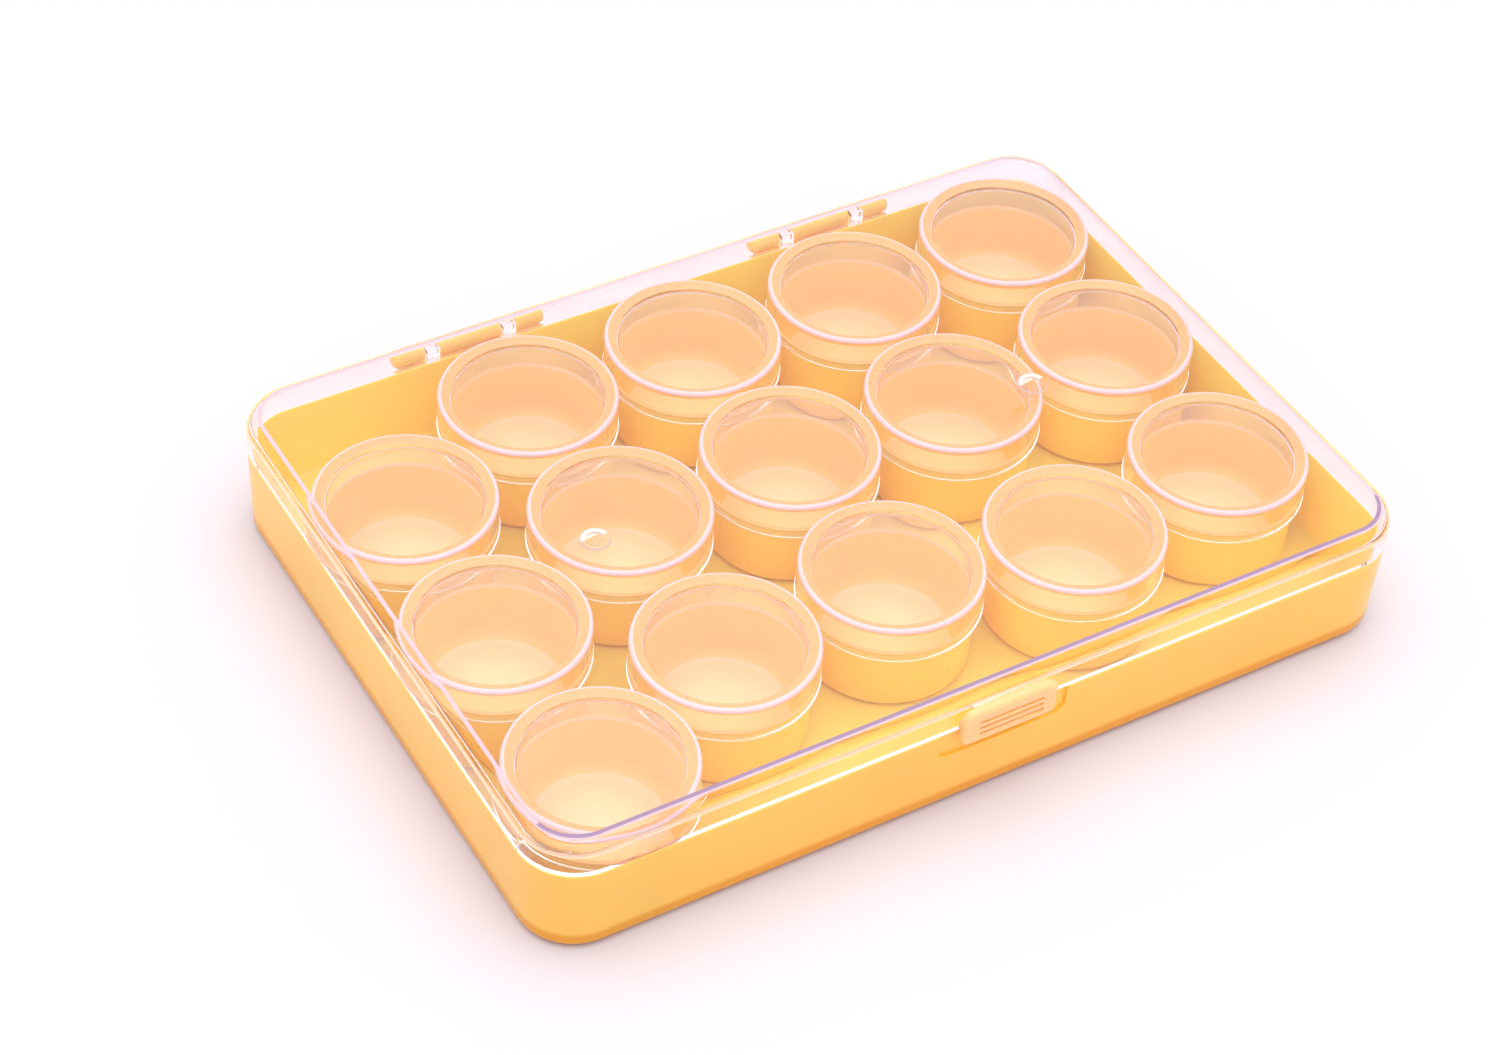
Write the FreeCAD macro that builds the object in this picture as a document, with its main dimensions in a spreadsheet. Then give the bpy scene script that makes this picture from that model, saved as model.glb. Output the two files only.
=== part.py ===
# A flat hinged-lid storage tray holding fifteen loose round cups with push-on caps.
# Millimetres. +X along the long side, -Y the latch side, +Y the hinge side, +Z up.
# The origin is the centre of the tray's underside.
import FreeCAD, Part
import os
import Sketcher

V = FreeCAD.Vector
doc = FreeCAD.newDocument("storage_tray")
dims = doc.addObject("Spreadsheet::Sheet", "dims")

# ---------------------------------------------------------------- sizes
SIZES = [
    # tray
    ("tray_half_x", 73.1, "half length of the tray at the underside"),
    ("tray_half_y", 51.9, "half width of the tray at the underside"),
    ("tray_corner", 8.7, "vertical corner radius at the underside"),
    ("tray_height", 15.3, "height of the tray's rim"),
    ("tray_draft", 1.12, "draft angle of the walls in degrees"),
    ("tray_wall", 1.2, "wall thickness"),
    ("tray_floor", 1.4, "floor thickness"),
    ("tray_foot_round", 1.5, "radius along the outer bottom edge"),
    ("tray_floor_round", 0.8, "radius between floor and walls inside"),
    # catch recess in the front wall
    ("recess_half_x", 11.0, "half width of the catch recess"),
    ("recess_low_z", 10.4, "lower edge of the catch recess"),
    ("recess_round", 1.8, "radius of its lower corners"),
    ("recess_face_y", 51.62, "distance of the recess face from the centre plane"),
    ("bead_half_x", 5.4, "half length of the catch bead"),
    ("bead_low_z", 13.5, "lower edge of the catch bead"),
    ("bead_high", 0.8, "height of the catch bead"),
    ("bead_out", 0.62, "how far the catch bead stands out"),
    # lid
    ("lid_half_x", 73.4, "half length of the lid's lower tier"),
    ("lid_half_y", 52.2, "half width of the lid's lower tier"),
    ("lid_corner", 9.0, "vertical corner radius of the lower tier"),
    ("lid_low_z", 15.5, "lower edge of the lid's skirt"),
    ("lid_tier_z", 19.2, "height where the upper tier starts"),
    ("lid_tier_in", 0.3, "how far the upper tier is set in"),
    ("lid_top_z", 21.4, "top of the lid"),
    ("lid_round", 2.1, "radius along the lid's top edge"),
    ("lid_wall", 1.3, "thickness of the lid's skirt"),
    ("lid_plate", 1.3, "thickness of the lid's top plate"),
    ("lid_in_round", 0.9, "radius inside the lid's top edge"),
    ("gate_x", 38.4, "distance of each gate boss from the centre"),
    ("gate_y", -0.5, "place of the gate bosses across the lid"),
    ("gate_radius", 2.3, "radius of a gate boss"),
    ("gate_high", 0.35, "height of a gate boss"),
    ("gate_dish_radius", 1.45, "radius of the dish in a gate boss"),
    ("gate_dish_deep", 0.3, "depth of that dish"),
    # latch tab
    ("tab_half_x", 8.0, "half width of the latch tab"),
    ("tab_low_z", 13.0, "lower edge of the latch tab"),
    ("tab_top_z", 19.4, "top of the latch tab"),
    ("tab_front_y", 53.9, "distance of the tab's face from the centre plane"),
    ("tab_back_y", 52.7, "distance of the tab's inner face from the centre plane"),
    ("tab_top_round", 1.9, "radius of the tab's upper corners"),
    ("tab_low_round", 1.0, "radius of the tab's lower corners"),
    ("tab_edge_round", 0.9, "radius along the tab's face edges"),
    ("tab_root_z", 15.9, "lower edge of the tab's root on the skirt"),
    ("groove_half_x", 5.5, "half length of a grip groove"),
    ("groove_high", 0.62, "height of a grip groove"),
    ("groove_deep", 0.45, "depth of a grip groove"),
    ("groove_low_z", 14.55, "lower edge of the lowest grip groove"),
    ("groove_pitch", 1.12, "spacing of the grip grooves"),
    # hinges
    ("hinge_y", 53.9, "distance of the hinge axis from the centre plane"),
    ("hinge_z", 16.2, "height of the hinge axis"),
    ("hinge_x", 32.2, "distance of each hinge's middle from the centre"),
    ("hinge_half", 13.1, "half length of a hinge"),
    ("barrel_radius", 1.4, "radius of the hinge barrels"),
    ("barrel_end_round", 0.8, "radius on the outer ends of the barrels"),
    ("gap_at", 6.65, "distance of each lid knuckle from the hinge's middle"),
    ("gap_wide", 2.7, "width of the gap for a lid knuckle"),
    ("gap_radius", 1.88, "radius of that gap around the axis"),
    ("knuckle_wide", 2.2, "width of a lid knuckle"),
    ("pin_radius", 0.65, "radius of the stub pins on the lid knuckles"),
    ("pin_out", 1.6, "how far a stub pin stands out on each side"),
    ("bore_radius", 0.71, "radius of the bores for the stub pins"),
    ("bore_half", 11.6, "half length of those bores"),
    ("brace_low_z", 11.8, "where the brace under the barrels leaves the wall"),
    ("brace_short", 0.9, "how much the brace is shorter than the barrels at each end"),
    ("brace_in_y", 51.35, "inner side of the brace, inside the wall"),
    # cups
    ("cup_foot_radius", 12.9, "radius of a cup at its foot"),
    ("cup_rim_radius", 13.03, "radius of a cup at its rim"),
    ("cup_wall", 0.88, "wall thickness of a cup"),
    ("cup_floor", 1.15, "floor thickness of a cup"),
    ("cup_height", 11.65, "height of a cup"),
    ("cup_foot_round", 1.1, "radius along a cup's foot"),
    ("cup_in_round", 3.0, "radius inside a cup's floor"),
    ("cup_rim_round", 0.25, "radius on a cup's rim"),
    # caps, heights counted from the cup's foot
    ("cap_low", 10.45, "lower edge of a cap's skirt"),
    ("cap_bead_top", 11.05, "top of the bead around the skirt's lower edge"),
    ("cap_bead_end", 11.3, "where the bead's slope meets the skirt"),
    ("cap_top", 16.8, "crest of the rim around a cap's top"),
    ("cap_seat", 11.7, "seat inside a cap, over the cup's rim"),
    ("cap_bead_radius", 14.12, "radius of that bead"),
    ("cap_radius", 13.96, "radius of a cap"),
    ("cap_skirt_in", 13.27, "inside radius of a cap's skirt"),
    ("cap_seat_in", 12.2, "inside radius of a cap above its seat"),
    ("cap_plate", 0.9, "thickness of a cap's top plate"),
    ("cap_crest", 13.25, "radius where the slope inside that rim starts"),
    ("cap_dish", 12.12, "radius where the slope meets the sunk top plate"),
    ("cap_drop", 0.5, "how far the top plate is sunk below the rim"),
    ("cap_round", 0.6, "radius along a cap's top edge"),
    ("cap_crest_round", 0.3, "radius along the rim's crest"),
    ("cap_dish_round", 0.4, "radius where the slope meets the plate"),
    ("cap_in_round", 0.8, "radius inside a cap's top"),
]

# Where each container stands: x, y.
PLACES = [
    (57.7, 36.2),
    (28.1, 35.0),
    (-1.4, 35.7),
    (-30.8, 35.2),
    (57.7, 6.7),
    (28.5, 6.2),
    (-0.7, 6.8),
    (-30.4, 6.3),
    (-57.7, 22.9),
    (57.5, -24.0),
    (28.2, -27.9),
    (-0.6, -22.3),
    (-30.1, -24.6),
    (-57.6, -6.4),
    (-56.8, -36.5),
]
for n, (x, y) in enumerate(PLACES, 1):
    SIZES.append(("place_x_%02d" % n, x, "place of container %d along x" % n))
    SIZES.append(("place_y_%02d" % n, y, "place of container %d along y" % n))

value = {}
for row, (alias, number, note) in enumerate(SIZES, 1):
    dims.set("A%d" % row, note)
    dims.set("B%d" % row, repr(number))
    dims.setAlias("B%d" % row, alias)
    value[alias] = number
doc.recompute()


# ---------------------------------------------------------------- helpers
def ex(text):
    """An expression with every size name turned into a reference to the sheet."""
    words, word = [], ""
    for c in text + " ":
        if c.isalnum() or c == "_":
            word += c
        else:
            words.append("dims." + word if word in value else word)
            words.append(c)
            word = ""
    return "".join(words).strip()


def number(text):
    """The same expression's value, for the starting geometry."""
    total, sign, term = 0.0, 1.0, None
    token = ""
    for c in text.replace(" ", "") + "+":
        if c in "+-" and token:
            product = 1.0
            for factor in token.split("*"):
                product *= value[factor] if factor in value else float(factor)
            total += sign * product
            token, sign = "", 1.0 if c == "+" else -1.0
        elif c in "+-":
            sign = 1.0 if c == "+" else -1.0
        else:
            token += c
    return total


def bind(obj, prop, text):
    obj.setExpression(prop, ex(text))


def new_body(label):
    body = doc.addObject("PartDesign::Body", label)
    body.Label = label
    return body


def plane(body, role):
    for o in body.Origin.OriginFeatures:
        if o.Role == role:
            return o
    raise RuntimeError("no plane " + role)


def new_sketch(body, name, role, offset=None):
    s = body.newObject("Sketcher::SketchObject", name)
    s.AttachmentSupport = [(plane(body, role), "")]
    s.MapMode = "FlatFace"
    if offset:
        bind(s, "AttachmentOffset.Base.z", offset)
    return s


def length(s, kind, args, text):
    i = s.addConstraint(Sketcher.Constraint(kind, *args, number(text)))
    s.setExpression("Constraints[%d]" % i, ex(text))


def rounded_rect(s, half_x, half_y, radius):
    """A rectangle with rounded corners about the sketch's origin."""
    a, b, r = number(half_x), number(half_y), number(radius)
    line = Part.LineSegment
    g = [
        s.addGeometry(line(V(-a + r, -b, 0), V(a - r, -b, 0)), False),
        s.addGeometry(line(V(a, -b + r, 0), V(a, b - r, 0)), False),
        s.addGeometry(line(V(a - r, b, 0), V(-a + r, b, 0)), False),
        s.addGeometry(line(V(-a, b - r, 0), V(-a, -b + r, 0)), False),
    ]
    quarter = 1.5707963267948966
    spots = [(a - r, -b + r, -1), (a - r, b - r, 0), (-a + r, b - r, 1), (-a + r, -b + r, 2)]
    arcs = []
    for x, y, q in spots:
        circle = Part.Circle(V(x, y, 0), V(0, 0, 1), r)
        arcs.append(s.addGeometry(Part.ArcOfCircle(circle, q * quarter, (q + 1) * quarter), False))
    for i in range(4):
        s.addConstraint(Sketcher.Constraint("Tangent", g[i], 2, arcs[i], 1))
        s.addConstraint(Sketcher.Constraint("Tangent", arcs[i], 2, g[(i + 1) % 4], 1))
    for i in (0, 2):
        s.addConstraint(Sketcher.Constraint("Horizontal", g[i]))
        s.addConstraint(Sketcher.Constraint("Vertical", g[i + 1]))
    for i in (1, 2, 3):
        s.addConstraint(Sketcher.Constraint("Equal", arcs[0], arcs[i]))
    s.addConstraint(Sketcher.Constraint("Symmetric", arcs[0], 3, arcs[2], 3, -1, 1))
    length(s, "Radius", (arcs[0],), radius)
    length(s, "DistanceX", (g[3], 1, g[1], 2), "2*" + half_x if "+" not in half_x and "-" not in half_x else twice(half_x))
    length(s, "DistanceY", (g[0], 1, g[2], 2), "2*" + half_y if "+" not in half_y and "-" not in half_y else twice(half_y))


def twice(text):
    """Two times a sum, term by term."""
    out = ""
    for c in text.replace(" ", ""):
        out += c + "2*" if c in "+-" else c
    return "2*" + out


def outline(s, points, arcs=None):
    """A closed outline of straight lines; each corner is held by its two distances from the origin."""
    xy = [(number(p), number(q)) for p, q in points]
    n = len(points)
    lines = []
    for i in range(n):
        (x0, y0), (x1, y1) = xy[i], xy[(i + 1) % n]
        lines.append(s.addGeometry(Part.LineSegment(V(x0, y0, 0), V(x1, y1, 0)), False))
    for i in range(n):
        s.addConstraint(Sketcher.Constraint("Coincident", lines[i], 2, lines[(i + 1) % n], 1))
    for i, (p, q) in enumerate(points):
        if abs(xy[i][0]) < 1e-9:
            s.addConstraint(Sketcher.Constraint("PointOnObject", lines[i], 1, -2))
        else:
            length(s, "DistanceX", (-1, 1, lines[i], 1), p)
        if abs(xy[i][1]) < 1e-9:
            s.addConstraint(Sketcher.Constraint("PointOnObject", lines[i], 1, -1))
        else:
            length(s, "DistanceY", (-1, 1, lines[i], 1), q)


def pad(body, name, sketch, size, taper=None, back=False):
    p = body.newObject("PartDesign::Pad", name)
    p.Profile = sketch
    bind(p, "Length", size)
    if taper:
        bind(p, "TaperAngle", taper)
    p.Reversed = back
    sketch.Visibility = False
    doc.recompute()
    return p


def pocket(body, name, sketch, size, taper=None, back=False):
    p = body.newObject("PartDesign::Pocket", name)
    p.Profile = sketch
    bind(p, "Length", size)
    if taper:
        bind(p, "TaperAngle", taper)
    p.Reversed = back
    doc.recompute()
    return p


def fillet(body, name, chosen, radius):
    """Rounds the edges of the body's last feature that the test picks."""
    last = body.Tip
    names = ["Edge%d" % i for i, e in enumerate(last.Shape.Edges, 1) if chosen(e)]
    if not names:
        raise RuntimeError("no edges for " + name)
    f = body.newObject("PartDesign::Fillet", name)
    f.Base = (last, names)
    bind(f, "Radius", radius)
    doc.recompute()
    if not f.isValid() or f.Shape.isNull():
        raise RuntimeError("fillet failed: " + name)
    return f


def box(body, name, low, high, cut=False):
    """A box between two corners given as expressions."""
    b = body.newObject("PartDesign::SubtractiveBox" if cut else "PartDesign::AdditiveBox", name)
    for prop, axis, i in (("Length", "x", 0), ("Width", "y", 1), ("Height", "z", 2)):
        bind(b, prop, "(" + high[i] + ")-(" + low[i] + ")")
        bind(b, "Placement.Base." + axis, low[i])
    doc.recompute()
    return b


def rod_x(body, name, x, long, y, z, radius, cut=False):
    """A cylinder along +X that starts at x."""
    c = body.newObject("PartDesign::SubtractiveCylinder" if cut else "PartDesign::AdditiveCylinder", name)
    c.Placement = FreeCAD.Placement(V(0, 0, 0), FreeCAD.Rotation(V(0, 1, 0), 90))
    bind(c, "Radius", radius)
    bind(c, "Height", long)
    bind(c, "Placement.Base.x", x)
    bind(c, "Placement.Base.y", y)
    bind(c, "Placement.Base.z", z)
    doc.recompute()
    return c


def rod_z(body, name, x, y, z, long, radius, cut=False):
    c = body.newObject("PartDesign::SubtractiveCylinder" if cut else "PartDesign::AdditiveCylinder", name)
    bind(c, "Radius", radius)
    bind(c, "Height", long)
    for axis, text in (("x", x), ("y", y), ("z", z)):
        bind(c, "Placement.Base." + axis, text)
    doc.recompute()
    return c


def flat_at(e, z, tol=1e-4):
    b = e.BoundBox
    return abs(b.ZMin - z) < tol and abs(b.ZMax - z) < tol


# ---------------------------------------------------------------- tray
tray = new_body("base_tray")
s = new_sketch(tray, "tray_plan", "XY_Plane")
rounded_rect(s, "tray_half_x", "tray_half_y", "tray_corner")
pad(tray, "tray_block", s, "tray_height", "tray_draft")
fillet(tray, "tray_foot", lambda e: flat_at(e, 0), "tray_foot_round")
s = new_sketch(tray, "tray_room_plan", "XY_Plane", "tray_floor")
rounded_rect(s, "tray_half_x-tray_wall", "tray_half_y-tray_wall", "tray_corner-tray_wall")
pocket(tray, "tray_room", s, "tray_height", "tray_draft", True)
fillet(tray, "tray_floor_edge", lambda e: flat_at(e, value["tray_floor"]), "tray_floor_round")

s = new_sketch(tray, "recess_outline", "XZ_Plane", "recess_face_y")
outline(
    s,
    [
        ("-recess_half_x", "recess_low_z"),
        ("recess_half_x", "recess_low_z"),
        ("recess_half_x", "tray_height+2"),
        ("-recess_half_x", "tray_height+2"),
    ],
)
pocket(tray, "recess", s, "3", None, True)
fillet(
    tray,
    "recess_corners",
    lambda e: abs(e.BoundBox.ZMin - value["recess_low_z"]) < 1e-3
    and abs(e.BoundBox.ZMax - value["recess_low_z"]) < 1e-3
    and abs(abs(e.BoundBox.XMin) - value["recess_half_x"]) < 1e-3
    and abs(abs(e.BoundBox.XMax) - value["recess_half_x"]) < 1e-3
    and e.BoundBox.XLength < 0.01,
    "recess_round",
)
box(
    tray,
    "catch_bead",
    ("-bead_half_x", "-recess_face_y-bead_out", "bead_low_z"),
    ("bead_half_x", "-recess_face_y+0.3", "bead_low_z+bead_high"),
)

for side, sign in (("left", "-"), ("right", "")):
    middle = sign + "hinge_x"
    s = new_sketch(tray, "brace_%s_outline" % side, "YZ_Plane", middle + "-hinge_half+brace_short")
    outline(
        s,
        [
            ("brace_in_y", "brace_low_z"),
            ("hinge_y+0.5", "hinge_z-1.3"),
            ("hinge_y", "hinge_z-0.3"),
            ("hinge_y-1.0", "tray_height-0.15"),
            ("brace_in_y", "tray_height-0.15"),
        ],
    )
    pad(tray, "brace_%s" % side, s, "2*hinge_half-2*brace_short")
    rod_x(tray, "barrel_%s" % side, middle + "-hinge_half", "2*hinge_half", "hinge_y", "hinge_z", "barrel_radius")
    ends = (number(middle + "-hinge_half"), number(middle + "+hinge_half"))
    fillet(
        tray,
        "barrel_ends_%s" % side,
        lambda e: e.BoundBox.XLength < 1e-3 and min(abs(e.BoundBox.XMin - x) for x in ends) < 1e-3 and e.BoundBox.ZMin > 10,
        "barrel_end_round",
    )
    for k, at in ((1, "-gap_at"), (2, "+gap_at")):
        rod_x(
            tray,
            "gap_%s_%d" % (side, k),
            middle + at + "-0.5*gap_wide",
            "gap_wide",
            "hinge_y",
            "hinge_z",
            "gap_radius",
            True,
        )
    rod_x(tray, "bore_%s" % side, middle + "-bore_half", "2*bore_half", "hinge_y", "hinge_z", "bore_radius", True)

# ---------------------------------------------------------------- lid
lid = new_body("hinged_lid")
s = new_sketch(lid, "lid_lower_plan", "XY_Plane", "lid_low_z")
rounded_rect(s, "lid_half_x", "lid_half_y", "lid_corner")
pad(lid, "lid_lower_tier", s, "lid_tier_z-lid_low_z")
s = new_sketch(lid, "lid_upper_plan", "XY_Plane", "lid_tier_z")
rounded_rect(s, "lid_half_x-lid_tier_in", "lid_half_y-lid_tier_in", "lid_corner-lid_tier_in")
pad(lid, "lid_upper_tier", s, "lid_top_z-lid_tier_z")
fillet(lid, "lid_edge", lambda e: flat_at(e, value["lid_top_z"]), "lid_round")
s = new_sketch(lid, "lid_room_plan", "XY_Plane", "lid_low_z")
rounded_rect(s, "lid_half_x-lid_wall", "lid_half_y-lid_wall", "lid_corner-lid_wall")
pocket(lid, "lid_room", s, "lid_top_z-lid_plate-lid_low_z", None, True)
fillet(lid, "lid_inner_edge", lambda e: flat_at(e, value["lid_top_z"] - value["lid_plate"]), "lid_in_round")

for k, sign in ((1, "-"), (2, "")):
    rod_z(lid, "gate_%d" % k, sign + "gate_x", "gate_y", "lid_top_z-0.2", "gate_high+0.2", "gate_radius")
    fillet(
        lid,
        "gate_edge_%d" % k,
        lambda e: flat_at(e, value["lid_top_z"] + value["gate_high"])
        and abs(e.BoundBox.XLength - 2 * value["gate_radius"]) < 1e-3
        and (e.BoundBox.XMin < 0) == (sign == "-"),
        "0.15",
    )
    rod_z(
        lid,
        "gate_dish_%d" % k,
        sign + "gate_x",
        "gate_y",
        "lid_top_z+gate_high-gate_dish_deep",
        "gate_dish_deep+0.5",
        "gate_dish_radius",
        True,
    )

s = new_sketch(lid, "tab_outline", "XZ_Plane", "tab_back_y")
outline(
    s,
    [
        ("-tab_half_x", "tab_low_z"),
        ("tab_half_x", "tab_low_z"),
        ("tab_half_x", "tab_top_z"),
        ("-tab_half_x", "tab_top_z"),
    ],
)
box(
    lid,
    "tab_root",
    ("-tab_half_x", "-tab_back_y-0.1", "tab_root_z"),
    ("tab_half_x", "-lid_half_y+0.4", "tab_top_z-tab_top_round-0.2"),
)
box(
    lid,
    "tab_root_top",
    ("-tab_half_x+tab_top_round", "-tab_back_y-0.1", "tab_root_z"),
    ("tab_half_x-tab_top_round", "-lid_half_y+0.4", "tab_top_z"),
)
pad(lid, "tab", s, "tab_front_y-tab_back_y")


def tab_corner(z):
    return lambda e: (
        e.BoundBox.ZLength < 1e-3
        and e.BoundBox.XLength < 1e-3
        and abs(abs(e.BoundBox.XMin) - value["tab_half_x"]) < 1e-3
        and abs(e.BoundBox.ZMin - z) < 1e-3
        and e.BoundBox.YMin < -value["tab_back_y"] - 0.5
    )


fillet(lid, "tab_upper_corners", tab_corner(value["tab_top_z"]), "tab_top_round")
fillet(lid, "tab_lower_corners", tab_corner(value["tab_low_z"]), "tab_low_round")
fillet(
    lid,
    "tab_face_edge",
    lambda e: abs(e.BoundBox.YMin + value["tab_front_y"]) < 1e-3 and abs(e.BoundBox.YMax + value["tab_front_y"]) < 1e-3,
    "tab_edge_round",
)
for k in range(3):
    low = "groove_low_z+%d*groove_pitch" % k
    box(
        lid,
        "groove_%d" % (k + 1),
        ("-groove_half_x", "-tab_front_y-1", low),
        ("groove_half_x", "-tab_front_y+groove_deep", low + "+groove_high"),
        True,
    )

for side, sign in (("left", "-"), ("right", "")):
    middle = sign + "hinge_x"
    for k, at in ((1, "-gap_at"), (2, "+gap_at")):
        start = middle + at + "-0.5*knuckle_wide"
        box(
            lid,
            "knuckle_web_%s_%d" % (side, k),
            (start, "lid_half_y-0.3", "hinge_z-0.6"),
            (start + "+knuckle_wide", "hinge_y", "hinge_z+1.2"),
        )
        rod_x(lid, "knuckle_%s_%d" % (side, k), start, "knuckle_wide", "hinge_y", "hinge_z", "barrel_radius")
        rod_x(
            lid,
            "stub_pin_%s_%d" % (side, k),
            start + "-pin_out",
            "knuckle_wide+2*pin_out",
            "hinge_y",
            "hinge_z",
            "pin_radius",
        )

# ---------------------------------------------------------------- cups and caps
nodes = [tray, lid]


def turned(label, points, rounds, n):
    """A round piece turned about its own upright axis, standing at container place n."""
    body = new_body(label)
    s = new_sketch(body, label + "_section", "XZ_Plane")
    outline(s, points)
    r = body.newObject("PartDesign::Revolution", label + "_turned")
    r.Profile = s
    r.ReferenceAxis = (s, ["V_Axis"])
    r.Angle = 360.0
    s.Visibility = False
    doc.recompute()
    for name, z, radius, size in rounds:
        want_z, want_r = number(z), number(radius)
        fillet(
            body,
            label + "_" + name,
            lambda e: flat_at(e, want_z) and abs(e.BoundBox.XLength - 2 * want_r) < 2e-2,
            size,
        )
    bind(body, "Placement.Base.x", "place_x_%02d" % n)
    bind(body, "Placement.Base.y", "place_y_%02d" % n)
    bind(body, "Placement.Base.z", "tray_floor")
    doc.recompute()
    nodes.append(body)


CUP = [
    ("0", "0"),
    ("cup_foot_radius", "0"),
    ("cup_rim_radius", "cup_height"),
    ("cup_rim_radius-cup_wall", "cup_height"),
    ("cup_foot_radius-cup_wall", "cup_floor"),
    ("0", "cup_floor"),
]
CUP_ROUNDS = [
    ("foot", "0", "cup_foot_radius", "cup_foot_round"),
    ("inside", "cup_floor", "cup_foot_radius-cup_wall", "cup_in_round"),
    ("rim", "cup_height", "cup_rim_radius", "cup_rim_round"),
    ("lip", "cup_height", "cup_rim_radius-cup_wall", "cup_rim_round"),
]
CAP = [
    ("cap_skirt_in", "cap_low"),
    ("cap_bead_radius", "cap_low"),
    ("cap_bead_radius", "cap_bead_top"),
    ("cap_radius", "cap_bead_end"),
    ("cap_radius", "cap_top"),
    ("cap_crest", "cap_top"),
    ("cap_dish", "cap_top-cap_drop"),
    ("0", "cap_top-cap_drop"),
    ("0", "cap_top-cap_drop-cap_plate"),
    ("cap_seat_in", "cap_top-cap_drop-cap_plate"),
    ("cap_seat_in", "cap_seat"),
    ("cap_skirt_in", "cap_seat"),
]
CAP_ROUNDS = [
    ("edge", "cap_top", "cap_radius", "cap_round"),
    ("crest", "cap_top", "cap_crest", "cap_crest_round"),
    ("dish", "cap_top-cap_drop", "cap_dish", "cap_dish_round"),
    ("inside", "cap_top-cap_drop-cap_plate", "cap_seat_in", "cap_in_round"),
]
for n in range(1, len(PLACES) + 1):
    turned("cup_%02d" % n, CUP, CUP_ROUNDS, n)
    turned("cup_cap_%02d" % n, CAP, CAP_ROUNDS, n)

# ---------------------------------------------------------------- checks and files
doc.recompute()
for o in doc.Objects:
    if "Invalid" in o.State or "Error" in o.State:
        raise RuntimeError("object not built: " + o.Label)
os.makedirs("parts", exist_ok=True)
for body in nodes:
    shape = body.Shape
    if shape.isNull() or not shape.isValid() or len(shape.Solids) != 1:
        raise RuntimeError("bad sub-part: " + body.Label)
    shape.exportStep("parts/%s.step" % body.Label)
    b = shape.BoundBox
    print(
        "%s volume %.1f x %.2f..%.2f y %.2f..%.2f z %.2f..%.2f"
        % (body.Label, shape.Volume, b.XMin, b.XMax, b.YMin, b.YMax, b.ZMin, b.ZMax)
    )
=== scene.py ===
import math

import bmesh
import bpy
from mathutils import Matrix, Vector


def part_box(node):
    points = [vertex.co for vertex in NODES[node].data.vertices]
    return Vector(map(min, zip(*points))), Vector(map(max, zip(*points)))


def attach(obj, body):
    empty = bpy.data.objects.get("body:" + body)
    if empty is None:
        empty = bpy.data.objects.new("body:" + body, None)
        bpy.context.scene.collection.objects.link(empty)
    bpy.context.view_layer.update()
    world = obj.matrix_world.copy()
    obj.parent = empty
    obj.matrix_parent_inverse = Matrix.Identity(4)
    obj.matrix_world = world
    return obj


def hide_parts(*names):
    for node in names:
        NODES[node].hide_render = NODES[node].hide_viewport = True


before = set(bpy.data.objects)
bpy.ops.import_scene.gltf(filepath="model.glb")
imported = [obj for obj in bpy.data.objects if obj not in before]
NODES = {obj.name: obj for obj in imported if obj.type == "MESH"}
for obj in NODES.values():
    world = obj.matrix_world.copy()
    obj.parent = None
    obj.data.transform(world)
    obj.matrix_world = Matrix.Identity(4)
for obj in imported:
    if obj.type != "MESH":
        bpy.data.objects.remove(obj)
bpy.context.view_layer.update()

SC = bpy.context.scene
CONTAINERS = ["%02d" % i for i in range(1, 16)]


# ------------------------------------------------------------------ materials
def new_material(name):
    m = bpy.data.materials.new(name)
    m.use_nodes = True
    nt = m.node_tree
    nt.nodes.clear()
    out = nt.nodes.new("ShaderNodeOutputMaterial")
    return m, nt, out


def noise(nt, coord, scale, detail=2.0, rough=0.5):
    n = nt.nodes.new("ShaderNodeTexNoise")
    n.inputs["Scale"].default_value = scale
    n.inputs["Detail"].default_value = detail
    n.inputs["Roughness"].default_value = rough
    nt.links.new(coord, n.inputs["Vector"])
    return n.outputs["Fac"]


def ramp(nt, fac, stops):
    r = nt.nodes.new("ShaderNodeValToRGB")
    e = r.color_ramp.elements
    while len(e) < len(stops):
        e.new(0.5)
    for el, (pos, col) in zip(e, stops):
        el.position = pos
        el.color = (*col, 1.0)
    nt.links.new(fac, r.inputs["Fac"])
    return r.outputs["Color"]


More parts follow.
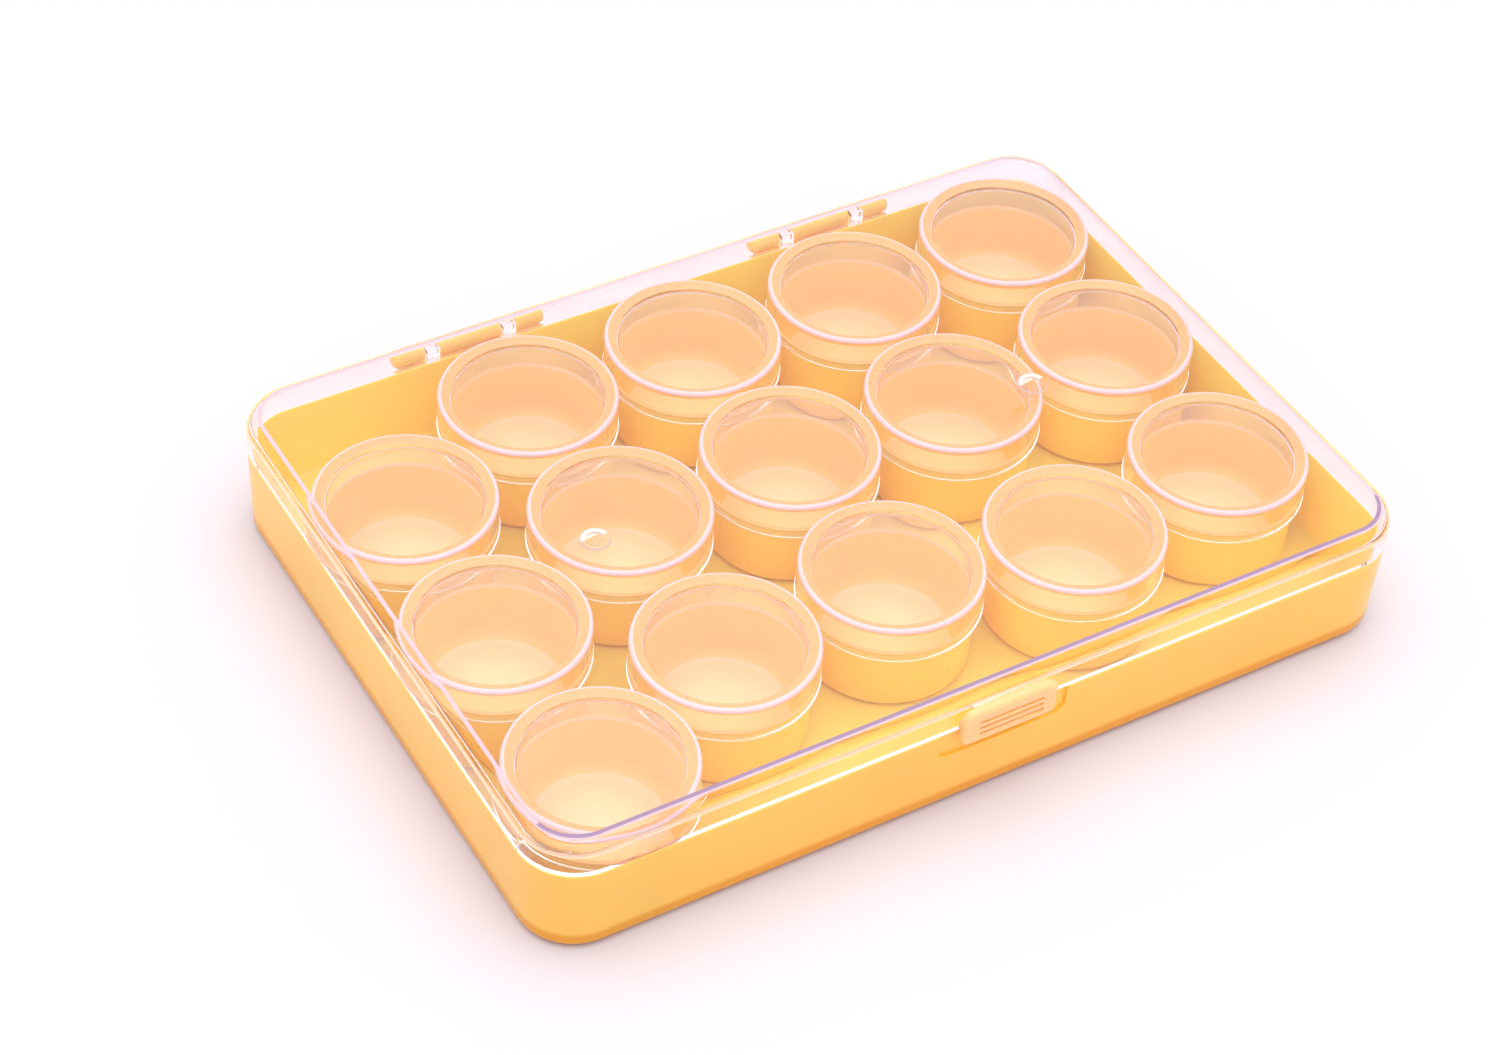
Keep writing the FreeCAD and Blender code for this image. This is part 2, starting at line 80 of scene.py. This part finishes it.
def moulded(name, dark, mid, light, subsurface, radius, scale, rough_lo, rough_hi, coat=0.0, painted_foot_shade=None):
    """Translucent moulded plastic: cloudy flow variation in the colour, a fine satin grain and light that scatters inside it."""
    m, nt, out = new_material(name)
    tc = nt.nodes.new("ShaderNodeTexCoord")
    at = tc.outputs["Object"]
    p = nt.nodes.new("ShaderNodeBsdfPrincipled")
    flow = noise(nt, at, 38.0, 3.0, 0.55)
    colour = ramp(nt, flow, [(0.28, dark), (0.5, mid), (0.74, light)])
    # painted shade: low on the part the colour turns a darker golden, standing in for the shaded bottom edge lit
    # through the plastic
    if painted_foot_shade is not None:
        xyz = nt.nodes.new("ShaderNodeSeparateXYZ")
        nt.links.new(at, xyz.inputs[0])
        rise = nt.nodes.new("ShaderNodeMapRange")
        rise.interpolation_type = "SMOOTHSTEP"
        rise.inputs["From Min"].default_value = painted_foot_shade[1]
        rise.inputs["From Max"].default_value = painted_foot_shade[2]
        nt.links.new(xyz.outputs["Z"], rise.inputs["Value"])
        blend = nt.nodes.new("ShaderNodeMix")
        blend.data_type = "RGBA"
        nt.links.new(rise.outputs["Result"], blend.inputs["Factor"])
        blend.inputs[6].default_value = (*painted_foot_shade[0], 1.0)
        nt.links.new(colour, blend.inputs[7])
        colour = blend.outputs[2]
    nt.links.new(colour, p.inputs["Base Color"])
    grain = noise(nt, at, 900.0, 2.0, 0.6)
    mr = nt.nodes.new("ShaderNodeMapRange")
    mr.inputs["From Min"].default_value = 0.3
    mr.inputs["From Max"].default_value = 0.7
    mr.inputs["To Min"].default_value = rough_lo
    mr.inputs["To Max"].default_value = rough_hi
    nt.links.new(grain, mr.inputs["Value"])
    nt.links.new(mr.outputs["Result"], p.inputs["Roughness"])
    b = nt.nodes.new("ShaderNodeBump")
    b.inputs["Strength"].default_value = 0.06
    b.inputs["Distance"].default_value = 0.00012
    nt.links.new(grain, b.inputs["Height"])
    nt.links.new(b.outputs["Normal"], p.inputs["Normal"])
    p.inputs["IOR"].default_value = 1.47
    p.inputs["Coat Weight"].default_value = coat
    p.inputs["Coat Roughness"].default_value = 0.12
    p.inputs["Subsurface Weight"].default_value = subsurface
    p.inputs["Subsurface Radius"].default_value = radius
    p.inputs["Subsurface Scale"].default_value = scale
    nt.links.new(p.outputs["BSDF"], out.inputs["Surface"])
    return m


def clear(name, tint, haze, rough, absorb, density, ior, wave):
    """Clear moulded plastic. Lamps and bounced light pass straight through, the eye sees it bend."""
    m, nt, out = new_material(name)
    tc = nt.nodes.new("ShaderNodeTexCoord")
    p = nt.nodes.new("ShaderNodeBsdfPrincipled")
    p.inputs["Base Color"].default_value = (*tint, 1.0)
    p.inputs["Transmission Weight"].default_value = 1.0 - haze
    p.inputs["Roughness"].default_value = rough
    p.inputs["IOR"].default_value = ior
    b = nt.nodes.new("ShaderNodeBump")
    b.inputs["Strength"].default_value = wave
    b.inputs["Distance"].default_value = 0.0004
    nt.links.new(noise(nt, tc.outputs["Object"], 90.0, 2.0, 0.5), b.inputs["Height"])
    nt.links.new(b.outputs["Normal"], p.inputs["Normal"])
    t = nt.nodes.new("ShaderNodeBsdfTransparent")
    t.inputs["Color"].default_value = (0.985, 0.985, 0.985, 1.0)
    lp = nt.nodes.new("ShaderNodeLightPath")
    a = nt.nodes.new("ShaderNodeMixShader")
    nt.links.new(lp.outputs["Is Diffuse Ray"], a.inputs[0])
    nt.links.new(p.outputs["BSDF"], a.inputs[1])
    nt.links.new(t.outputs["BSDF"], a.inputs[2])
    c = nt.nodes.new("ShaderNodeMixShader")
    nt.links.new(lp.outputs["Is Shadow Ray"], c.inputs[0])
    nt.links.new(a.outputs["Shader"], c.inputs[1])
    nt.links.new(t.outputs["BSDF"], c.inputs[2])
    # light caught inside the wall is let out after a few turns
    d = nt.nodes.new("ShaderNodeMath")
    d.operation = "GREATER_THAN"
    d.inputs[1].default_value = 1.5
    nt.links.new(lp.outputs["Glossy Depth"], d.inputs[0])
    e = nt.nodes.new("ShaderNodeMixShader")
    nt.links.new(d.outputs["Value"], e.inputs[0])
    nt.links.new(c.outputs["Shader"], e.inputs[1])
    nt.links.new(t.outputs["BSDF"], e.inputs[2])
    nt.links.new(e.outputs["Shader"], out.inputs["Surface"])
    v = nt.nodes.new("ShaderNodeVolumeAbsorption")
    v.inputs["Color"].default_value = (*absorb, 1.0)
    v.inputs["Density"].default_value = density
    nt.links.new(v.outputs["Volume"], out.inputs["Volume"])
    return m


def tones(colour, spread=0.05):
    """The darker, the middle and the lighter tone of a moulded colour."""
    return [tuple(min(0.99, c * (1 + k * spread)) for c in colour) for k in (-1, 0, 1)]


WARM = (1.0, 0.75, 0.32)
# the tray carries a painted golden shade along its bottom edge, fading out between 2.1 and 3.4 mm up
TRAY = moulded("tray_moulded", *tones((0.972, 0.53, 0.080)), 0.6, WARM, 0.0035, 0.28, 0.40, coat=0.3, painted_foot_shade=((0.76, 0.335, 0.003), 0.0021, 0.0034))
# painted light: the hinge lugs get a lighter copy of the tray plastic, making up for the little light that reaches them
TRAY_LUG_PAINTED_LIGHT = moulded("tray_moulded_lug_painted_light", *tones((0.985, 0.65, 0.18)), 0.5, WARM, 0.002, 0.28, 0.40)
# painted light: the tray's inside faces get a lighter, more lemon copy of the tray plastic for the light falling in and
# coming through the walls
TRAY_IN_PAINTED_LIGHT = moulded("tray_moulded_inside_painted_light", *tones((0.98, 0.735, 0.125)), 0.6, WARM, 0.0035, 0.28, 0.40)
CUP = moulded("cup_moulded", *tones((0.972, 0.612, 0.058)), 0.55, WARM, 0.0025, 0.26, 0.38)
# painted light: the cup floor gets a paler cream copy of the cup plastic, standing in for the light falling on it
# through the cap
CUP_FLOOR_PAINTED_LIGHT = moulded("cup_moulded_floor_painted_light", *tones((0.98, 0.70, 0.31)), 0.5, WARM, 0.0025, 0.26, 0.38)
# painted light: the cup's outer faces get a lighter lemon copy of the cup plastic, standing in for light coming through
# the wall
CUP_OUT_PAINTED_LIGHT = moulded("cup_moulded_outside_painted_light", *tones((0.975, 0.715, 0.095)), 0.55, WARM, 0.0025, 0.26, 0.38)
# painted light and shade: the cup rim top gets its own tone of the cup plastic, set to hide the rim's highlight under
# the cap and to match its paler look there
CUP_RIM_PAINTED_LIGHT_SHADE = moulded("cup_moulded_rim_painted_light_shade", *tones((0.96, 0.66, 0.25)), 0.4, WARM, 0.002, 0.30, 0.42)
LILAC = (0.80, 0.62, 0.88)
LID = clear("lid_moulded_clear", (0.995, 0.985, 0.997), 0.0, 0.02, LILAC, 15.0, 1.5, 0.006)
LID_TAB = moulded("lid_tab_cream", *tones((0.95, 0.58, 0.26), 0.03), 0.6, WARM, 0.003, 0.22, 0.32)
# painted sheen: the clear lid's ledge is painted opaque milky cream for the whitish reflection it shows
LID_LEDGE_PAINTED_SHEEN = moulded("lid_ledge_painted_sheen", *tones((0.88, 0.655, 0.48)), 0.0, WARM, 0.001, 0.24, 0.34)
# painted shade: a dark lilac line for the dark refraction in the clear lid's edge fillet and the gate boss rims
LID_PAINTED_SHADE_LINE = moulded("lid_painted_shade_line_lilac", *tones((0.32, 0.21, 0.33)), 0.0, WARM, 0.001, 0.28, 0.40)
# painted light and shade: the pink line a clear lid edge shows, painted opaque on fillet rows
LID_PAINTED_EDGE_LINE = moulded("lid_painted_edge_line_pink", *tones((0.62, 0.47, 0.52)), 0.0, WARM, 0.001, 0.28, 0.40)
# painted highlight: opaque white glints on the lid's gate bosses
LID_PAINTED_GLINT = moulded("lid_painted_glint_white", *tones((0.84, 0.70, 0.62)), 0.0, WARM, 0.001, 0.28, 0.40)
ROSE = (0.86, 0.70, 0.86)
CAP = clear("cap_moulded_clear", (0.995, 0.985, 0.975), 0.025, 0.03, ROSE, 20.0, 1.5, 0.0015)
# painted highlight: the crest and outer fillet of the clear cap are painted opaque pink-white
CAP_PAINTED_HIGHLIGHT = moulded("cap_painted_highlight_pink", *tones((0.80, 0.60, 0.60)), 0.0, WARM, 0.001, 0.22, 0.32)
# painted light: the clear cap's rim slope is painted opaque cream, standing in for the light caught in the clear rim
CAP_SLOPE_PAINTED_LIGHT = moulded("cap_rim_painted_light", *tones((0.88, 0.43, 0.155)), 0.0, WARM, 0.001, 0.24, 0.34)
# painted light: the clear cap's seat is painted opaque orange-cream, lightened to make up for the shade of the painted
# rim above it
CAP_SEAT_PAINTED_LIGHT = moulded("cap_seat_painted_light", *tones((0.95, 0.58, 0.16)), 0.0, WARM, 0.001, 0.26, 0.38)
# painted highlight: the bottom bead of the clear cap skirt is painted opaque cream
CAP_RING_PAINTED_HIGHLIGHT = moulded("cap_bottom_painted_highlight", *tones((0.95, 0.83, 0.60)), 0.0, WARM, 0.001, 0.26, 0.38)


# ------------------------------------------------------------------ round pieces
def lathe(name, profile, segments, centre):
    """A closed body turned about an upright axis through centre; profile is a list of (radius, z) from the axis round to the axis, or a closed ring."""
    bm = bmesh.new()
    closed = profile[0][0] > 1e-9
    rings = []
    for r, z in profile:
        if r < 1e-9:
            rings.append([bm.verts.new((centre[0], centre[1], z))])
        else:
            rings.append(
                [
                    bm.verts.new(
                        (
                            centre[0] + r * math.cos(2 * math.pi * k / segments),
                            centre[1] + r * math.sin(2 * math.pi * k / segments),
                            z,
                        )
                    )
                    for k in range(segments)
                ]
            )
    pairs = list(zip(rings, rings[1:]))
    if closed:
        pairs.append((rings[-1], rings[0]))
    for a, b in pairs:
        for k in range(segments):
            j = (k + 1) % segments
            if len(a) == 1 and len(b) == 1:
                continue
            if len(a) == 1:
                bm.faces.new((a[0], b[j], b[k]))
            elif len(b) == 1:
                bm.faces.new((a[k], a[j], b[0]))
            else:
                bm.faces.new((a[k], a[j], b[j], b[k]))
    bmesh.ops.recalc_face_normals(bm, faces=bm.faces)
    me = bpy.data.meshes.new(name)
    bm.to_mesh(me)
    bm.free()
    for f in me.polygons:
        f.use_smooth = True
    ob = bpy.data.objects.new(name, me)
    SC.collection.objects.link(ob)
    return ob


def rounded(points, default=3):
    """(r, z, radius) corners to a profile with arcs, in millimetres in, metres out."""
    out = []
    n = len(points)
    for i, (r, z, rad) in enumerate(points):
        if rad <= 0:
            out.append((r, z))
            continue
        a = Vector(points[i - 1][:2]) - Vector((r, z))
        b = Vector(points[(i + 1) % n][:2]) - Vector((r, z))
        a.normalize()
        b.normalize()
        half = math.acos(max(-1, min(1, a.dot(b)))) / 2
        back = rad / math.tan(half)
        mid = (a + b).normalized()
        c = Vector((r, z)) + mid * (rad / math.sin(half))
        s = Vector((r, z)) + a * back - c
        e = Vector((r, z)) + b * back - c
        t0, t1 = math.atan2(s.y, s.x), math.atan2(e.y, e.x)
        d = (t1 - t0 + math.pi) % (2 * math.pi) - math.pi
        steps = max(3, int(abs(d) * rad / 0.09) + 1, int(abs(d) / 0.2))
        for k in range(steps + 1):
            t = t0 + d * k / steps
            out.append((c.x + rad * math.cos(t), c.y + rad * math.sin(t)))
    return [(r / 1000, z / 1000) for r, z in out]


def shade(ob, angle):
    """Smooth shading with the corners over angle kept sharp."""
    with bpy.context.temp_override(active_object=ob, selected_editable_objects=[ob], object=ob):
        bpy.ops.object.shade_smooth_by_angle(angle=angle)


FLOOR_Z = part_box("cup_01")[0].z * 1000
CUP_PROFILE = [
    (0, 0.25, 0),
    (10.6, 0.25, 0.0),
    (10.9, 0, 0.0),
    (12.9, 0, 1.1),
    (13.03, 11.65, 0.25),
    (12.15, 11.65, 0.25),
    (12.02, 1.15, 3.0),
    (0, 1.15, 0),
]
CAP_PROFILE = [
    (13.27, 10.45, 0.12),
    (14.12, 10.45, 0.2),
    (14.12, 10.78, 0),
    (14.12, 11.05, 0.2),
    (13.96, 11.3, 0.1),
    (13.96, 16.8, 0.6),
    (13.25, 16.8, 0.3),
    (13.02, 16.698, 0),
    (12.45, 16.446, 0),
    (12.12, 16.3, 0.4),
    (0, 16.3, 0),
    (0, 15.4, 0),
    (12.2, 15.4, 0.8),
    (12.2, 11.7, 0.12),
    (13.27, 11.7, 0.1),
]


def lifted(points):
    return [(r, z + FLOOR_Z, q) for r, z, q in points]


def cap_lathe(name, centre):
    # the ring is opened at the axis: top disc and inner disc both close on it
    pts = lifted(CAP_PROFILE)
    k = [j for j, q in enumerate(pts) if q[0] == 0][1]
    order = pts[k:] + pts[:k]
    return lathe(name, rounded(order), 128, centre)


for i in CONTAINERS:
    low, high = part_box("cup_" + i)
    centre = ((low.x + high.x) / 2, (low.y + high.y) / 2)
    cup = lathe("cup_form_" + i, rounded(lifted(CUP_PROFILE)), 128, centre)
    shade(cup, math.radians(40))
    for m in (CUP, CUP_RIM_PAINTED_LIGHT_SHADE, CUP_FLOOR_PAINTED_LIGHT, CUP_OUT_PAINTED_LIGHT):
        cup.data.materials.append(m)
    for f in cup.data.polygons:
        r = math.hypot(f.center.x - centre[0], f.center.y - centre[1]) * 1000
        z = f.center.z * 1000 - FLOOR_Z
        # rim top: separately toned copy of the cup plastic, painted light and shade
        if z > 11.35:
            f.material_index = 1
        # cup floor: paler copy of the cup plastic, painted light
        elif 1.0 < z < 1.6 and r < 10.5:
            f.material_index = 2
        # outer cup wall below the rim: lighter copy, painted light
        elif r > 12.5 and z < 11.0:
            f.material_index = 3 if r > 12.55 else 0
    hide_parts("cup_" + i)
    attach(cup, "cup_" + i)
    cap = cap_lathe("cap_form_" + i, centre)
    shade(cap, math.radians(40))
    for m in (CAP, CAP_SLOPE_PAINTED_LIGHT, CAP_RING_PAINTED_HIGHLIGHT, CAP_SEAT_PAINTED_LIGHT, CAP_PAINTED_HIGHLIGHT):
        cap.data.materials.append(m)
    for f in cap.data.polygons:
        r = math.hypot(f.center.x - centre[0], f.center.y - centre[1]) * 1000
        z = f.center.z * 1000 - FLOOR_Z
        # crest and outer fillet: painted highlight
        if z > 15.98 and r > 13.36:
            f.material_index = 4
        # rim slope and the plate edge inside it: painted opaque cream, painted light
        elif z > 16.28 and 12.05 < r:
            f.material_index = 1
        # seat on the cup rim: painted opaque, painted light
        elif 11.6 < z < 11.79 and r > 12.22:
            f.material_index = 3
        # bottom bead of the skirt: painted highlight
        elif z < 10.76 and r > 13.95:
            f.material_index = 2
    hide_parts("cup_cap_" + i)
    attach(cap, "cap_" + i)


def dress(node, material):
    o = NODES[node]
    o.data.materials.clear()
    o.data.materials.append(material)


dress("base_tray", TRAY)
dress("hinged_lid", LID)
lid_mesh = NODES["hinged_lid"].data
for m in (LID_TAB, LID_PAINTED_GLINT, LID_PAINTED_SHADE_LINE, LID_PAINTED_EDGE_LINE, LID_LEDGE_PAINTED_SHEEN):
    lid_mesh.materials.append(m)
# each gate boss's middle, set a little back: the boss top behind it gets a painted glint
GATE_GLINT_Y = {}
for side in (False, True):
    ys = [v.co.y * 1000 for v in lid_mesh.vertices if v.co.z * 1000 > 21.45 and (v.co.x > 0.0) == side]
    GATE_GLINT_Y[side] = (min(ys) + max(ys)) / 2 + 0.25
for f in lid_mesh.polygons:
    c = f.center * 1000
    if c.y < -52.25 or (c.y < -51.0 and c.z < 15.4):
        f.material_index = 1
    # gate boss top: back half painted glint, front half clear
    elif c.z > 21.42 and f.normal.z >= 0.97:
        f.material_index = 2 if c.y > GATE_GLINT_Y[c.x > 0.0] else 0
    # gate boss rim rows: painted shade line on the upper rows, painted glint on the lower rows
    elif c.z > 21.42:
        f.material_index = 3 if 0.75 < f.normal.z < 0.97 else 2 if -0.2 < f.normal.z <= 0.75 else 0
    # fillet rows just off flat: painted shade line at the front, painted pink edge line behind
    elif c.z > 19.35 and 0.94 < f.normal.z < 0.9995:
        f.material_index = 3 if c.y < -45.0 else 4
    # next fillet row at the front: painted pink edge line
    elif c.z > 19.35 and 0.90 < f.normal.z <= 0.94 and c.y < -45.0:
        f.material_index = 4
    # ledge step all round: painted sheen
    elif 18.9 < c.z < 19.62 and (f.normal.z > 0.9 or (f.normal.z > -0.05 and f.normal.x * c.x + f.normal.y * c.y > 0.0 and c.z > 19.2)):
        f.material_index = 5
tray_mesh = NODES["base_tray"].data
tray_mesh.materials.append(TRAY_IN_PAINTED_LIGHT)
tray_mesh.materials.append(TRAY_LUG_PAINTED_LIGHT)
for f in tray_mesh.polygons:
    c = f.center * 1000
    # hinge lugs at the back: lighter copy of the tray plastic, painted light
    if c.y > 52.35 and c.z > 13.5:
        f.material_index = 2
    # inward-facing faces above the foot, away from the latch and lugs: lighter copy, painted light
    elif c.z > 1.39 and f.normal.x * c.x + f.normal.y * c.y < 1.0 and -51.0 < c.y < 52.35:
        f.material_index = 1
for i in CONTAINERS:
    dress("cup_" + i, CUP)
    dress("cup_cap_" + i, CAP)

# ------------------------------------------------------------------ stage
me = bpy.data.meshes.new("floor")
S = 4.0
me.from_pydata([(-S, -S, -0.0002), (S, -S, -0.0002), (S, S, -0.0002), (-S, S, -0.0002)], [], [(0, 1, 2, 3)])
floor = bpy.data.objects.new("floor", me)
SC.collection.objects.link(floor)
fm, nt, out = new_material("floor_white")
p = nt.nodes.new("ShaderNodeBsdfPrincipled")
p.inputs["Base Color"].default_value = (0.685, 0.672, 0.715, 1)
p.inputs["Roughness"].default_value = 0.7
p.inputs["Specular IOR Level"].default_value = 0.2
nt.links.new(p.outputs["BSDF"], out.inputs["Surface"])
me.materials.append(fm)

w = bpy.data.worlds.new("studio")
SC.world = w
w.use_nodes = True
nt = w.node_tree
nt.nodes.clear()
wo = nt.nodes.new("ShaderNodeOutputWorld")
bg = nt.nodes.new("ShaderNodeBackground")
tc = nt.nodes.new("ShaderNodeTexCoord")
sx = nt.nodes.new("ShaderNodeSeparateXYZ")
nt.links.new(tc.outputs["Generated"], sx.inputs["Vector"])
col = ramp(
    nt,
    sx.outputs["Z"],
    [
        (0.0, (0.365, 0.325, 0.385)),
        (0.12, (0.38, 0.345, 0.395)),
        (0.45, (0.39, 0.36, 0.395)),
        (0.66, (0.41, 0.38, 0.40)),
        (0.80, (0.72, 0.70, 0.71)),
        (0.92, (0.97, 0.955, 0.95)),
        (1.0, (1.0, 0.985, 0.97)),
    ],
)
nt.links.new(col, bg.inputs["Color"])
bg.inputs["Strength"].default_value = 2.55
nt.links.new(bg.outputs["Background"], wo.inputs["Surface"])


# ------------------------------------------------------------------ camera
F_PX = 3305.935
az, el, roll = (math.radians(v) for v in (-33.204, 43.587, 4.377))
target = Vector((-0.015627, -0.005289, 0.018195))
dist = 0.489911
back = Vector((math.sin(az) * math.cos(el), -math.cos(az) * math.cos(el), math.sin(el)))
fwd = -back
right = fwd.cross(Vector((0, 0, 1))).normalized()
up = right.cross(fwd)
r2 = math.cos(roll) * right + math.sin(roll) * up
u2 = -math.sin(roll) * right + math.cos(roll) * up
cam_data = bpy.data.cameras.new("camera")
cam_data.sensor_fit = "HORIZONTAL"
cam_data.sensor_width = 36.0
cam_data.lens = 36.0 * F_PX / 1491.0
cam_data.clip_start = 0.01
cam = bpy.data.objects.new("camera", cam_data)
SC.collection.objects.link(cam)
m = Matrix((r2, u2, back)).transposed().to_4x4()
m.translation = target + back * dist
cam.matrix_world = m
SC.camera = cam

SC.view_settings.view_transform = "Standard"
SC.view_settings.look = "None"
SC.view_settings.exposure = 0.0
SC.view_settings.gamma = 1.0
SC.cycles.max_bounces = 48
SC.cycles.transmission_bounces = 48
SC.cycles.transparent_max_bounces = 48
SC.cycles.diffuse_bounces = 8
SC.cycles.glossy_bounces = 48
